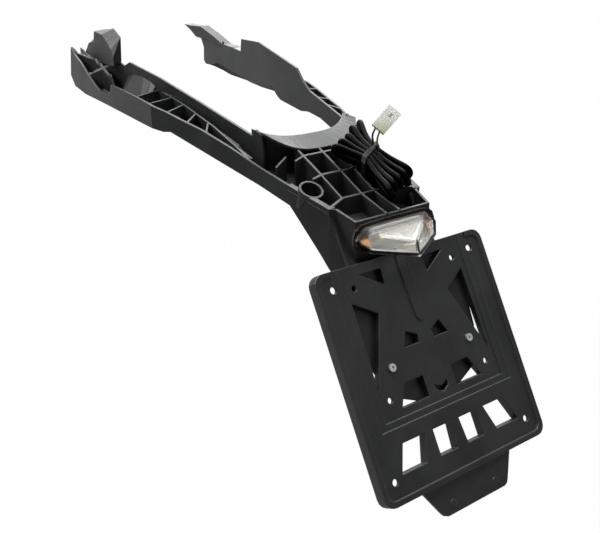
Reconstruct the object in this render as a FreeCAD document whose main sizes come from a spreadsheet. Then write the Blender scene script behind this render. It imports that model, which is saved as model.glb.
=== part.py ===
import FreeCAD, Part
import math
import os

os.makedirs("parts", exist_ok=True)
doc = FreeCAD.newDocument("tail_tidy")
sheet = doc.addObject("Spreadsheet::Sheet", "Sizes")

# Frame: X to the right seen from behind, Y forward along the arms, Z up.
# The origin lies midway between the two fixing bosses, at their bearing faces.
SIZES = {
    # carrier bracket: wall gauge and overall layout
    "wall": 2.5,
    "rib": 1.9,
    "half_rear": 43.0,
    "half_corner": 53.0,
    "half_arm": 100.0,
    "rear_edge": -63.5,
    "corner_edge": -39.0,
    "arm_flare_end": 194.0,
    "arm_end": 400.0,
    "inner_half_root": 53.0,
    "inner_half_front": 74.0,
    "throat_depth": 56.0,
    "crown_half": 30.0,
    "spine_half": 7.5,
    "lengthwise_rib": 70.5,
    "boss_half": 49.0,
    "boss_outer": 11.5,
    "boss_bore": 3.25,
    "boss_tilt": 27.0,
    "boss_tall": 21.0,
    # number plate frame
    "plate_width": 194.0,
    "plate_tall": 200.0,
    "plate_thick": 9.0,
    "plate_sheet": 3.0,
    "plate_skirt": 2.4,
    "plate_corner": 10.0,
    "plate_tilt": 30.0,
    "plate_rearward": 71.5,
    "plate_drop": 30.0,
    "lip_wide": 5.0,
    "lip_tall": 1.6,
    "step_outer": 78.0,
    "step_inner": 70.5,
    "step_depth": 1.0,
    "web_depth": 2.4,
    "plate_hole_half": 80.0,
    "plate_hole_top": 17.7,
    "plate_hole_low": 183.3,
    "plate_hole": 3.2,
    "web_hole_half": 57.7,
    "web_hole_top": 21.5,
    "web_hole_low": 120.3,
    "web_hole": 2.75,
    "screw_half": 46.2,
    "screw_down": 95.1,
    "tab_half": 56.0,
    "tab_tip_half": 35.0,
    "tab_end": 230.5,
    "tab_thick": 3.5,
    # tail support behind the frame
    "shield_half": 66.0,
    "shield_end": 131.0,
    "cheek": 3.0,
    # rear light
    "lens_half": 46.0,
    "lens_wall": 2.0,
    "gasket_thick": 1.2,
    "flange_thick": 1.8,
    "housing_thick": 2.0,
    "board_thick": 1.6,
    "led_size": 4.0,
    # fasteners
    "head_r": 3.5,
    "head_tall": 2.3,
    "shank_r": 1.7,
    "shank_long": 16.0,
    "pilot_gap": 0.15,
    # cable
    "cable_r": 3.0,
    "wire_r": 0.9,
    "hank_thick": 19.0,
    "hank_waist": 17.0,
    "connector_long": 24.0,
    "connector_wide": 14.0,
    "connector_tall": 8.0,
}
for row, (alias, value) in enumerate(SIZES.items(), start=1):
    sheet.set("A%d" % row, alias)
    sheet.set("B%d" % row, str(value))
    sheet.setAlias("B%d" % row, alias)
doc.recompute()


def size(alias):
    return float(sheet.get(alias))


VEC = FreeCAD.Vector
WALL = size("wall")
REAR = size("rear_edge")
CORNER = size("corner_edge")
END = size("arm_end")

# Side profiles of the carrier as (distance forward, height) pairs.
RIM = [(REAR, 1.5), (CORNER, 9.1), (-9, 16.8), (13, 22.6), (45, 31.7), (81, 43.4), (120.6, 54.2),
       (146, 59), (171, 64.2), (198, 68.4), (231, 71.7), (287, 75.3), (293, 63.4), (319, 64.1),
       (331, 69), (346, 77), (366, 89.5), (384, 97.6), (END - 9, 104.8)]
SKIRT = [(REAR, -18), (5, 2.3), (42, 13.5), (81, 23.4), (122, 33.8), (165.5, 44.8), (176.5, 43.2),
         (220, 45.8), (267, 49), (319, 52.3), (361, 54.5), (END - 10, 59.8), (END, 71.3)]
BELLY = [(56, 19), (78, 25.5), (96.5, 38.9), (118, 45.4), (148, 48.5), (157, 45.9), (203, 50.7),
         (212, 55.5), (221, 63.2), (243, 58.1), (275, 59.7), (325, 66.1), (363, 70.5), (383, 66.1),
         (END - 1, 65.5), (END + 4, 70)]
CREST_LEFT = [(60, 55), (69, 59), (74, 52.6), (159.5, 72.4), (230, 87.7), (287, 97), (299, 92),
              (315, 96)]
TIP_LEFT = [(END - 2, 95), (END, 78)]
CREST_RIGHT = [(60, 55), (69, 59), (74, 52.8), (139.6, 70.3), (154, 79.7), (166, 90.8), (251.6, 108.8),
               (294, 107.7), (297, 93), (322, 95.3), (347, 96.3), (365, 101.8), (399, 107.1),
               (427, 109.6)]
BEAK_RIGHT = [(441, 112.2), (427, 107), (410, 98), (402, 86)]
CROWN = [(REAR, 2.5), (-29, 12), (2, 27), (36, 42)]
# Heights of the rib tops beside the inner walls, where the cells rise to the lugs.
CELL_TOP = [(300, 65.5), (305, 74), (318, 96), (334, 101), (345, 99.6), (366, 97), (END - 3, 103)]


def along(table, place):
    """Height on a broken line at one place."""
    if place <= table[0][0]:
        return table[0][1]
    for (a, va), (b, vb) in zip(table, table[1:]):
        if place <= b:
            return va + (vb - va) * (place - a) / (b - a)
    return table[-1][1]


def outer_half(place):
    """Half width over the outer walls."""
    return along([(REAR, size("half_rear")), (CORNER - 2.5, size("half_rear") + 4.6),
                  (CORNER - 0.5, size("half_corner")),
                  (size("arm_flare_end"), size("half_arm") - 0.5), (END, size("half_arm"))], place)


def inner_half(place):
    """Half width of the gap between the arms."""
    slope = (size("inner_half_front") - size("inner_half_root")) / 228.0
    return size("inner_half_root") + slope * (place - 70.0)


def register(name, shape):
    """Keep a computed shape as a document object."""
    item = doc.addObject("Part::Feature", name)
    item.Shape = shape
    return item


def sketch_prism(name, points, frame, length):
    """Closed outline drawn in a sketch and extruded by a length or a bound expression."""
    sketch = doc.addObject("Sketcher::SketchObject", name + "_outline")
    sketch.Placement = frame
    for start, stop in zip(points, points[1:] + points[:1]):
        sketch.addGeometry(Part.LineSegment(VEC(start[0], start[1], 0), VEC(stop[0], stop[1], 0)))
    body = doc.addObject("Part::Extrusion", name)
    body.Base = sketch
    body.DirMode = "Normal"
    if isinstance(length, str):
        body.setExpression("LengthFwd", length)
    else:
        body.LengthFwd = length
    body.Solid = True
    return body


def plan_frame(height=0.0):
    return FreeCAD.Placement(VEC(0, 0, height), FreeCAD.Rotation())


def side_frame(across):
    """Sketch plane whose axes are Y and Z, extruding along +X."""
    return FreeCAD.Placement(VEC(across, 0, 0), FreeCAD.Rotation(VEC(0, 1, 0), VEC(0, 0, 1), VEC(1, 0, 0), "ZXY"))


def boolean(kind, name, items):
    """Fuse, common or cut of document objects."""
    if kind == "cut":
        item = doc.addObject("Part::Cut", name)
        item.Base, item.Tool = items
        return item
    item = doc.addObject("Part::MultiFuse" if kind == "fuse" else "Part::MultiCommon", name)
    item.Shapes = items
    return item


def skin(sections):
    """Closed solid of flat faces through matching sections."""
    faces = []
    count = len(sections[0])
    for first, second in zip(sections, sections[1:]):
        middle = VEC(0, 0, 0)
        for point in first + second:
            middle += point * (0.5 / count)
        for i in range(count):
            j = (i + 1) % count
            quad = [first[i], first[j], second[j], second[i]]
            normal = (quad[1] - quad[0]).cross(quad[3] - quad[0])
            flat = normal.Length > 1e-9 and abs((quad[2] - quad[0]).dot(normal)) / normal.Length < 1e-6
            pieces = [quad]
            if not flat:
                first_span = ((quad[0] + quad[2]) * 0.5 - middle).Length
                second_span = ((quad[1] + quad[3]) * 0.5 - middle).Length
                if first_span >= second_span:
                    pieces = [[quad[0], quad[1], quad[2]], [quad[0], quad[2], quad[3]]]
                else:
                    pieces = [[quad[0], quad[1], quad[3]], [quad[1], quad[2], quad[3]]]
            for piece in pieces:
                clean = [p for k, p in enumerate(piece) if (p - piece[k - 1]).Length > 1e-7]
                if len(clean) >= 3:
                    faces.append(Part.Face(Part.makePolygon(clean + clean[:1])))
    for cap in (sections[0], sections[-1]):
        faces.append(Part.Face(Part.makePolygon(cap + cap[:1])))
    shell = Part.makeShell(faces)
    shell.sewShape()
    solid = Part.makeSolid(shell)
    if solid.Volume < 0:
        solid.reverse()
    return solid


def strip(x1, y1, x2, y2, thick, low=-60.0, high=150.0):
    """Upright web between two points of the plan."""
    run = VEC(x2 - x1, y2 - y1, 0)
    side = VEC(-run.y, run.x, 0).normalize() * (thick / 2.0)
    reach = VEC(run).normalize() * 0.6
    a, b = VEC(x1, y1, low) - reach, VEC(x2, y2, low) + reach
    loop = [a + side, b + side, b - side, a - side]
    return Part.Face(Part.makePolygon(loop + loop[:1])).extrude(VEC(0, 0, high - low))


def stations(low, high, *tables):
    """Every break between two places."""
    marks = {low, high}
    for table in tables:
        marks.update(p for p, _ in table if low < p < high)
    return sorted(marks)


def outer_plan(side, inset):
    marks = [REAR, CORNER - 2.5, CORNER - 0.5, size("arm_flare_end"), END + 10.0]
    return [(side * (outer_half(y) - inset), y) for y in marks]


def wall_pair(side):
    """Outer wall and inner wall of one arm, each a plan strip cut to its side profile."""
    name = "left" if side < 0 else "right"
    outside = outer_plan(side, 0.0)
    inside = outer_plan(side, WALL)
    plan = sketch_prism("outer_strip_" + name, outside + inside[::-1], plan_frame(-60.0), 220.0)
    profile = sketch_prism("outer_profile_" + name, RIM + SKIRT[::-1], side_frame(min(side * 120.0, 0.0)), 120.0)
    outer = boolean("common", "outer_wall_" + name, [plan, profile])
    ends = [58.0, 298.0, END + 45.0]
    near = [(side * inner_half(y), y) for y in ends]
    far = [(side * (inner_half(y) + WALL), y) for y in ends]
    plan = sketch_prism("inner_strip_" + name, near + far[::-1], plan_frame(-60.0), 220.0)
    crest = CREST_LEFT + TIP_LEFT if side < 0 else CREST_RIGHT + BEAK_RIGHT
    profile = sketch_prism("inner_profile_" + name, crest + BELLY[::-1], side_frame(min(side * 120.0, 0.0)), 120.0)
    inner = boolean("common", "inner_wall_" + name, [plan, profile])
    return [outer, inner]


def arm_floor(side):
    """Sloping floor of one arm between the skirt line and the belly line."""
    marks = stations(57.0, END - 1.0, SKIRT, BELLY)
    sections = []
    for y in marks:
        xo = side * (outer_half(y) - 0.4)
        xi = side * (inner_half(y) + 0.4)
        zo, zi = along(SKIRT, y), along(BELLY, y)
        sections.append([VEC(xo, y, zo), VEC(xi, y, zi), VEC(xi, y, zi + WALL), VEC(xo, y, zo + WALL)])
    return skin(sections)


def arm_room(side):
    """Space that the arm's ribs may fill, from its floor to the rim."""
    marks = stations(57.0, END - 3.0, SKIRT, BELLY, RIM, CELL_TOP)
    sections = []
    for y in marks:
        xo = side * (outer_half(y) - 0.4)
        xi = side * (inner_half(y) + 0.4)
        rim = along(RIM, y)
        top = max(rim + 2.0, along(BELLY, y) + 4.0) if y <= 300 else along(CELL_TOP, y)
        sections.append([VEC(xo, y, along(SKIRT, y) + 0.5), VEC(xi, y, along(BELLY, y) + 0.5),
                         VEC(xi, y, top), VEC(xo, y, rim)])
    return skin(sections)


def body_room():
    """Space under the crowned rib tops of the body."""
    marks = stations(REAR + 0.2, 60.0, SKIRT, RIM, CROWN)
    sections = []
    for y in marks:
        xo = outer_half(y) - 0.4
        xc = size("crown_half") * (1.0 if y > CORNER else 0.9)
        base, rim, top = along(SKIRT, y) + 0.5, along(RIM, y), along(CROWN, y)
        sections.append([VEC(-xo, y, base), VEC(xo, y, base), VEC(xo, y, rim), VEC(xc, y, top),
                         VEC(-xc, y, top), VEC(-xo, y, rim)])
    return skin(sections)


def arm_ribs(side):
    """Lattice of one arm: a lengthwise rib, slanting cross ribs and the front cells."""
    web = size("rib")
    lengthwise = size("lengthwise_rib")
    pieces = [strip(side * lengthwise, 52.0, side * (lengthwise - 1.5), 236.0, web)]
    for start, stop in ((228, 234), (200, 203), (170, 179), (141, 154), (114, 130)):
        pieces.append(strip(side * (outer_half(start) - 1.5), start, side * lengthwise, stop, web))
    pieces.append(strip(side * (outer_half(289) - 1.5), 289, side * (inner_half(300) + 1), 300, web))
    middle = inner_half(340) + 9.0
    pieces.append(strip(side * (middle + 0.6), 297, side * middle, END - 8, web))
    for start, stop in ((348, 318), (END - 8, 345)):
        pieces.append(strip(side * (outer_half(start) - 1.5), start, side * (inner_half(stop) + 1), stop, web))
    pieces.append(strip(side * (lengthwise - 0.8), 74.0, side * (size("boss_half") + 11.0), 2.0, web))
    return pieces[0].fuse(pieces[1:])


def body_ribs():
    """Cross and lengthwise ribs of the body, about its middle plane."""
    web = size("rib")
    crown, spine = size("crown_half"), size("spine_half")
    front, middle, back = 28.0, 1.0, -29.0
    pieces = []
    for side in (-1, 1):
        pieces.append(strip(side * crown, 40.0, side * crown, back, web))
        pieces.append(strip(side * spine, 40.0, side * spine, REAR + 1, web))
        pieces.append(strip(side * crown, back, side * (size("half_corner") - 1.5), CORNER + 0.8, 2.6))
        pieces.append(strip(side * (crown + 9.0), front, 0, front, web))
        pieces.append(strip(side * (crown + 9.0), middle, 0, middle, web))
        pieces.append(strip(side * crown, back, 0, back, web))
        pieces.append(strip(side * 57, 33, side * 44, 37, web))
    return pieces[0].fuse(pieces[1:])


LIP = []
for x in (0.0, 10.0, 20.0, 28.0, 34.0, 40.0, 45.0, 49.0, 52.0, 54.5):
    reach = x / 54.5
    LIP.append((x, 56.0 + 21.0 * reach ** 2.6, 50.3 + 8.2 * reach ** 4, 34.0 + 22.0 * reach ** 3.5,
                41.0 + 16.5 * reach ** 3, 18.0 + 4.5 * reach ** 2))


def crescent():
    """Smooth cowl that joins the arms round the throat, rising to its front lip."""
    shift = size("throat_depth") - 56.0
    rows = [(-x, *rest) for x, *rest in LIP[:0:-1]] + LIP
    sections = []
    for x, front, lip, back, low, base in rows:
        front, back = front + shift, back + shift
        sections.append([VEC(x, back, low), VEC(x, front, lip), VEC(x, front, base),
                         VEC(x, front - WALL, base), VEC(x, front - WALL, lip - WALL - 1.2),
                         VEC(x, back, low - WALL)])
    return skin(sections)


def body_plan(inset):
    half = [(size("half_rear") - inset, REAR + inset), (size("half_rear") + 4.6 - inset, CORNER - 2.5),
            (size("half_corner") - inset, CORNER - 0.5 + inset)]
    half.append((outer_half(78.0) - inset, 78.0))
    half += [(x, front - inset) for x, front, *_ in LIP[:0:-1]]
    middle = [(0.0, LIP[0][1] - inset)]
    return half + middle + [(-x, y) for x, y in half[::-1]]


floor_plan = sketch_prism("body_floor_plan", body_plan(0.3), plan_frame(-60.0), 220.0)
floor_side = [(y, along(SKIRT, y)) for y in (REAR, 5.0, 42.0, 80.0)]
floor_band = sketch_prism("body_floor_band", floor_side + [(y, z + WALL) for y, z in floor_side[::-1]],
                          side_frame(-120.0), 240.0)
body_floor = boolean("common", "body_floor", [floor_plan, floor_band])
rear_points = [(REAR, along(SKIRT, REAR)), (REAR + 2.0, along(SKIRT, REAR)), (REAR + 2.0, 2.0), (REAR, 1.5)]
rear_wall = sketch_prism("rear_wall", rear_points, side_frame(-size("half_rear")), "2 * Sizes.half_rear")
corner_shelf = []
for side in (-1, 1):
    span = sorted([side * (size("half_rear") + 2.6), side * (size("half_corner") - 0.3)])
    points = [(CORNER - 0.5, along(SKIRT, CORNER)), (CORNER + 2.0, along(SKIRT, CORNER)),
              (CORNER + 2.0, 9.5), (CORNER - 0.5, 9.0)]
    corner_shelf.append(sketch_prism("corner_wall_%s" % ("left" if side < 0 else "right"), points,
                                     side_frame(span[0]), span[1] - span[0]))

arm_room_left = register("arm_room_left", arm_room(-1))
arm_room_right = register("arm_room_right", arm_room(1))
arm_grid_left = register("arm_grid_left", arm_ribs(-1))
arm_grid_right = register("arm_grid_right", arm_ribs(1))
body_space = register("body_space", body_room())
body_grid = register("body_grid", body_ribs())
ribs = [boolean("common", "arm_ribs_left", [arm_grid_left, arm_room_left]),
        boolean("common", "arm_ribs_right", [arm_grid_right, arm_room_right]),
        boolean("common", "body_ribs", [body_grid, body_space])]
floors = [register("arm_floor_left", arm_floor(-1)), register("arm_floor_right", arm_floor(1))]
cowl = register("cowl", crescent())


LUG_OUTER = [(386.5, 91), (386.5, 95), (370.5, 110), (355.5, 113), (351.5, 125), (330.5, 123), (318.5, 116),
             (310.5, 109), (304.5, 101), (304.5, 91)]
LUG_INNER = [(374, 92), (372, 97), (369, 112), (367, 118), (365, 124), (345, 127), (320.5, 130),
             (304.5, 122), (308, 97), (309.5, 92)]


def horn(side):
    """Curled lug at the front end of an arm, over the trough."""
    if side < 0:
        wide = -inner_half(340) - 8.0
        thin = -inner_half(340) + 2.8
        return register("horn_left", skin([[VEC(wide, y, z) for y, z in LUG_OUTER],
                                           [VEC(thin, y, z) for y, z in LUG_INNER]]))
    points = [(322, 94), (347, 96.3), (365, 103), (399, 113), (427, 112), (441, 112.2), (427, 107),
              (412, 99), (380, 97), (355, 92)]
    return sketch_prism("horn_right", points, side_frame(inner_half(340) + 0.5), 12.5)


def ramp(side):
    """Sloping sheet that leads from the inner wall down to the arm's floor."""
    sections = []
    for y, top in ((238, 80), (247, 84.5), (262, 88), (278, 88.5), (291, 85)):
        near, far = side * (inner_half(y) + 0.6), side * (inner_half(y) + 17.0)
        foot = 0.4 * along(BELLY, y) + 0.6 * along(SKIRT, y)
        sections.append([VEC(near, y, top), VEC(near, y, top - 5.0), VEC(far, y, foot + 0.8),
                         VEC(far, y, foot + 3.2)])
    return skin(sections)


def boss(side):
    """Tilted round fixing boss with an open mouth and a bored foot."""
    lean = size("boss_tilt")
    frame = FreeCAD.Placement(VEC(side * size("boss_half"), 0, 0), FreeCAD.Rotation(VEC(1, 0, 0), lean))
    tube = Part.makeCylinder(size("boss_outer"), size("boss_tall"))
    hollow = Part.makeCylinder(size("boss_outer") - 2.2, size("boss_tall"), VEC(0, 0, 4.0))
    bore = Part.makeCylinder(size("boss_bore"), 12.0, VEC(0, 0, -4.0))
    room = Part.makeCylinder(size("boss_outer"), size("boss_tall") + 4.0)
    shapes = [tube.cut(hollow).cut(bore), room, bore]
    for shape in shapes:
        shape.Placement = frame
    return shapes


solid = [w for side in (-1, 1) for w in wall_pair(side)]
solid += ribs + floors + [body_floor, rear_wall, cowl] + corner_shelf + [horn(-1), horn(1)]
solid += [register("ramp_left", ramp(-1)), register("ramp_right", ramp(1))]
for side in (-1, 1):
    marks = [CORNER - 0.5, 9.0]
    near = [(side * (outer_half(y) - WALL + 0.2), y) for y in marks]
    far = [(side * (outer_half(y) - WALL - size("cheek")), y) for y in marks]
    tag = "left" if side < 0 else "right"
    plan = sketch_prism("rim_backing_plan_" + tag, near + far[::-1], plan_frame(-60.0), 220.0)
    band = [p for p in SKIRT if p[0] < 9.0] + [(9.0, along(SKIRT, 9.0))]
    band += [(y, along(RIM, y)) for y in (9.0, -9.0, CORNER - 0.5, REAR)]
    profile = sketch_prism("rim_backing_side_" + tag, band, side_frame(min(side * 120.0, 0.0)), 120.0)
    solid.append(boolean("common", "rim_backing_" + tag, [plan, profile]))
carrier = boolean("fuse", "carrier_blank", solid)
boss_rooms, boss_tubes = [], []
for side in (-1, 1):
    tube, room, bore = boss(side)
    boss_rooms.append(room)
    boss_tubes.append(tube)
rooms = register("boss_rooms", Part.makeCompound(boss_rooms))
tubes = register("boss_tubes", Part.makeCompound(boss_tubes))
opened = boolean("cut", "carrier_opened", [carrier, rooms])
whole = boolean("fuse", "carrier_whole", [opened, tubes])


# Number plate frame, drawn on its front plane with Y up the slope and Z outwards.
LEAN = math.radians(size("plate_tilt"))
OUT = VEC(0, -math.cos(LEAN), math.sin(LEAN))
UP = VEC(0, math.sin(LEAN), math.cos(LEAN))


def plate_point(across, down, out=0.0):
    return VEC(across, -size("plate_rearward"), -size("plate_drop")) - UP * down + OUT * out


def plate_at(out):
    return FreeCAD.Placement(plate_point(0, 0, out), FreeCAD.Rotation(VEC(1, 0, 0), 90.0 - size("plate_tilt")))


def plate_prism(name, points, low, high):
    """Outline in (across, down) extruded between two heights over the front plane."""
    return sketch_prism(name, [(u, -v) for u, v in points], plate_at(low), high - low)


def rounded(half, top, low, radius, steps=4):
    """Outline of a rounded rectangle."""
    loop = []
    for cu, cv, turn in ((half - radius, low - radius, 0), (-half + radius, low - radius, 90),
                         (-half + radius, top + radius, 180), (half - radius, top + radius, 270)):
        for k in range(steps + 1):
            a = math.radians(turn + 90.0 * k / steps)
            loop.append((cu + radius * math.cos(a), cv + radius * math.sin(a)))
    return loop


def mirrored(points):
    """Outline completed about the middle plane from its right half."""
    return points + [(-u, v) for u, v in points[::-1] if abs(u) > 1e-6]


def both(points):
    return [points, [(-u, v) for u, v in points]]


half = size("plate_width") / 2.0
TOP = 2.0
LOW = TOP + size("plate_tall")
thick = size("plate_thick")
sheet_back = -size("plate_sheet")
web_front = -size("web_depth")
web_back = web_front - size("plate_sheet")
WINDOWS = both([(49, 11.5), (24, 11.5), (25, 26)])
WINDOWS += both([(65, 33), (41, 48), (66.5, 111)])
WINDOWS += both([(38, 111), (16.5, 111), (16.5, 130), (48, 130)])
WINDOWS += both([(20, 70), (8, 76), (9, 83), (26, 83)])
WINDOWS += both([(4.5, 156.5), (26.5, 156.5), (26.5, 180), (6.5, 180)])
WINDOWS += both([(35, 156.5), (61, 156.5), (71, 180), (43, 180)])
SLOT = [(-8, 122), (0, 125.5), (8, 122), (7, 127), (0, 131), (-7, 127)]

blank = plate_prism("frame_slab", rounded(half, TOP, LOW, size("plate_corner")), -thick, 0.0)
lip_inner = size("lip_wide")
lip_outline = plate_prism("frame_lip_outline", rounded(half, TOP, LOW, size("plate_corner")), 0.0, size("lip_tall"))
lip_room = plate_prism("frame_lip_room", rounded(half - lip_inner, TOP + lip_inner, LOW - lip_inner,
                                                 size("plate_corner") - 3.0), -1.0, size("lip_tall") + 1.0)
lip = boolean("cut", "frame_lip", [lip_outline, lip_room])
cutters = []
collars = []
skirt = size("plate_skirt")
for k, points in enumerate(WINDOWS + [SLOT]):
    cutters.append(plate_prism("window_%d" % k, points, -thick - 2.0, 4.0))
    if points is not SLOT:
        outline = doc.addObject("Sketcher::SketchObject", "collar_%d_outline" % k)
        outline.Placement = plate_at(-thick - 1.0)
        for start, stop in zip(points, points[1:] + points[:1]):
            outline.addGeometry(Part.LineSegment(VEC(start[0], -start[1], 0), VEC(stop[0], -stop[1], 0)))
        grown = doc.addObject("Part::Offset2D", "collar_%d_grown" % k)
        grown.Source = outline
        grown.setExpression("Value", "Sizes.plate_skirt")
        grown.Join = 2
        collar = doc.addObject("Part::Extrusion", "collar_%d" % k)
        collar.Base = grown
        collar.DirMode = "Custom"
        collar.Dir = OUT
        collar.LengthFwd = thick + 2.0
        collar.Solid = True
        collars.append(collar)


def plate_cylinder(name, across, down, radius, low, high):
    post = doc.addObject("Part::Cylinder", name)
    if isinstance(radius, str):
        post.setExpression("Radius", radius)
    else:
        post.Radius = radius
    post.Height = high - low
    post.Placement = FreeCAD.Placement(plate_point(across, down, low), plate_at(0).Rotation)
    return post


screw_at = [(side * size("screw_half"), size("screw_down")) for side in (-1, 1)]
corner_holes = [(s * size("plate_hole_half"), v) for s in (-1, 1)
                for v in (size("plate_hole_top"), size("plate_hole_low"))]
web_holes = [(s * size("web_hole_half"), v) for s in (-1, 1)
             for v in (size("web_hole_top"), size("web_hole_low"))]
for k, (u, v) in enumerate(screw_at):
    collars.append(plate_cylinder("screw_post_%d" % k, u, v, 5.0, -thick - 1.0, 0.0))
for k, (u, v) in enumerate(corner_holes):
    cutters.append(plate_cylinder("corner_hole_%d" % k, u, v, "Sizes.plate_hole", -thick - 2.0, 4.0))
for k, (u, v) in enumerate(web_holes):
    cutters.append(plate_cylinder("web_hole_%d" % k, u, v, "Sizes.web_hole", -thick - 2.0, 4.0))
for k, (u, v) in enumerate(screw_at):
    cutters.append(plate_cylinder("screw_hole_%d" % k, u, v, "Sizes.shank_r + Sizes.pilot_gap", -thick - 2.0, 4.0))

inner = size("step_inner")
outer_step = plate_prism("outer_step", [(-size("step_outer"), -5), (size("step_outer"), -5),
                                        (size("step_outer"), 143), (-size("step_outer"), 143)],
                         -size("step_depth"), 4.0)
inner_step = plate_prism("inner_step", [(-inner, -5), (inner, -5), (inner, 137), (-inner, 137)], web_front, 4.0)
chevron = plate_prism("chevron", mirrored([(0, 71), (18, 62), (28, 89), (0, 80)]),
                      web_front - 1.2, 4.0)
pocket_outline = rounded(half - skirt, TOP + skirt, LOW - skirt, size("plate_corner") - skirt)
pocket_deep = plate_prism("back_pocket", pocket_outline, -thick - 1.0, web_back)
pocket_rest = plate_prism("back_pocket_rim", pocket_outline, web_back, sheet_back)
core = plate_prism("web_core", [(-inner - skirt, -5), (inner + skirt, -5), (inner + skirt, 137 + skirt),
                                (-inner - skirt, 137 + skirt)], web_back - 1.0, 4.0)
pocket_shallow = boolean("cut", "back_pocket_shallow", [pocket_rest, core])
pockets = boolean("fuse", "back_pockets", [pocket_deep, pocket_shallow])
stay = boolean("fuse", "back_collars", collars)
hollow = boolean("cut", "back_hollow", [pockets, stay])
spine = plate_prism("frame_spine", mirrored([(6, TOP), (4, 62), (0, 66)]), web_front - 0.2, -0.6)
tab = plate_prism("frame_tab", mirrored([(size("tab_half"), LOW - 3), (size("tab_tip_half") + 6.0, size("tab_end") - 5.0),
                                         (size("tab_tip_half") + 3.5, size("tab_end") - 1.5),
                                         (size("tab_tip_half"), size("tab_end"))]), -5.0 - size("tab_thick"), -5.0)
pips = [plate_cylinder("tab_pip_%d" % k, s * 26.0, 222.0, 3.0, -5.2, -4.0) for k, s in enumerate((-1, 1))]
plate_cut = boolean("fuse", "frame_cuts", cutters + [outer_step, inner_step, hollow])
plate_body = boolean("fuse", "frame_solid", [blank, lip])
plate_open = boolean("cut", "frame_open", [plate_body, plate_cut])
plate_frame = boolean("fuse", "frame_whole", [plate_open, spine, tab] + pips)

# Tail support: two cheeks under the carrier's rim, a middle block and a tray behind the frame.
cheek = size("cheek")
RIDGE = [(CORNER + 0.5, 9.1 - 4.5), (-61.5, -32.5)]
CHEEK_SIDE = [(8.0, along(RIM, 8.0) - 4.5), (5.5, 2.0), (-6.0, -10.0), (-29.5, -35.0), (-48.5, -57.0),
              (-64.7, -36.2), RIDGE[1], RIDGE[0], (-9.0, along(RIM, -9.0) - 4.5)]


def cheek_half(place):
    if place >= CORNER:
        return outer_half(place)
    return size("half_corner") + (place - CORNER) * 7.0 / 23.0


def cheek_shape(side):
    marks = [-66.0, CORNER, 9.0]
    tag = "left" if side < 0 else "right"
    near = [(side * cheek_half(y), y) for y in marks]
    far = [(side * (cheek_half(y) - cheek), y) for y in marks]
    plan = sketch_prism("cheek_plan_" + tag, near + far[::-1], plan_frame(-90.0), 220.0)
    profile = sketch_prism("cheek_side_" + tag, CHEEK_SIDE, side_frame(min(side * 120.0, 0.0)), 120.0)
    return boolean("common", "cheek_" + tag, [plan, profile])


cheeks = [cheek_shape(-1), cheek_shape(1)]
HULL = [(3.0, 44.0, -28.0), (12.0, 52.0, -30.0), (38.0, size("shield_half"), -28.0), (46.0, size("shield_half") + 2.0, -27.0),
        (87.0, size("shield_half") - 2.0, -20.0), (119.0, size("shield_half") - 14.0, -16.5), (size("shield_end"), 25.0, -15.0)]


TRAY_TAPER = 8.0


def hull_skin(inset, front, back):
    sections = []
    for v, w, d in HULL:
        step = inset if v in (HULL[0][0], HULL[-1][0]) else 0.0
        down = v + (step if v < 60 else -step)
        sections.append([plate_point(-w + inset, down, front), plate_point(w - inset, down, front),
                         plate_point(w - TRAY_TAPER - inset, down, d + back),
                         plate_point(-w + TRAY_TAPER + inset, down, d + back)])
    return skin(sections)


hull_outer = register("tray_outer", hull_skin(0.0, -thick, 0.0))
hull_inner = register("tray_inner", hull_skin(2.5, -thick - 2.5, -6.0))
tray = boolean("cut", "tray", [hull_outer, hull_inner])
saddle_points = [RIDGE[0], RIDGE[1], (-64.4, -36.0), (-61.5, -39.0), (-58.5, -33.0), (-36.5, 1.0)]
saddles = []
for side in (-1, 1):
    low = min(side * 41.0, side * 51.0)
    saddles.append(sketch_prism("saddle_%s" % ("left" if side < 0 else "right"), saddle_points, side_frame(low), 10.0))
rear_floor = along(SKIRT, REAR)
plug_points = [(REAR, rear_floor), (REAR, -35.0), (-61.0, -39.5), (-58.0, -37.0), (-60.5, -31.0), (-60.5, rear_floor)]
plug_half = size("half_rear")
block = sketch_prism("block_wall", plug_points, side_frame(-plug_half), 2.0 * plug_half)
side_walls = []
for side in (-1, 1):
    loop = [(side * plug_half, REAR), (side * (plug_half + 4.6), CORNER), (side * (plug_half + 4.6 - cheek), CORNER),
            (side * (plug_half - cheek), REAR)]
    tag = "left" if side < 0 else "right"
    plan = sketch_prism("block_side_plan_" + tag, loop, plan_frame(-60.0), 120.0)
    profile = sketch_prism("block_side_profile_" + tag, [(REAR, rear_floor), (REAR, -35.0), (-58.0, -36.0),
                                                         (CORNER, along(SKIRT, CORNER) - 6.0),
                                                         (CORNER, along(SKIRT, CORNER))],
                           side_frame(min(side * 60.0, 0.0)), 60.0)
    side_walls.append(boolean("common", "block_side_" + tag, [plan, profile]))
posts = [plate_cylinder("tray_post_%d" % k, u, v, 4.0, -21.0, -thick) for k, (u, v) in enumerate(screw_at)]
pilots = [plate_cylinder("tray_pilot_%d" % k, u, v, "Sizes.shank_r + Sizes.pilot_gap", -20.0, 0.0)
          for k, (u, v) in enumerate(screw_at)]
braces = [plate_prism("tray_rib_%d" % k, points, -17.0, -thick - 2.0)
          for k, points in enumerate(([(-60.5, 66), (60.5, 66), (60.5, 68), (-60.5, 68)],
                                      [(-1, 8), (1, 8), (1, 129), (-1, 129)],
                                      [(-51.5, 100), (51.5, 100), (51.5, 102), (-51.5, 102)]))]
support_solid = boolean("fuse", "support_solid", cheeks + saddles + [tray, block] + side_walls + posts + braces)
pilot_set = boolean("fuse", "support_pilots", pilots)
support_bored = boolean("cut", "support_bored", [support_solid, pilot_set])
doc.recompute()
bracket_part = boolean("cut", "bracket_part", [whole, boolean("fuse", "cheek_pair", cheeks)])
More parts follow.
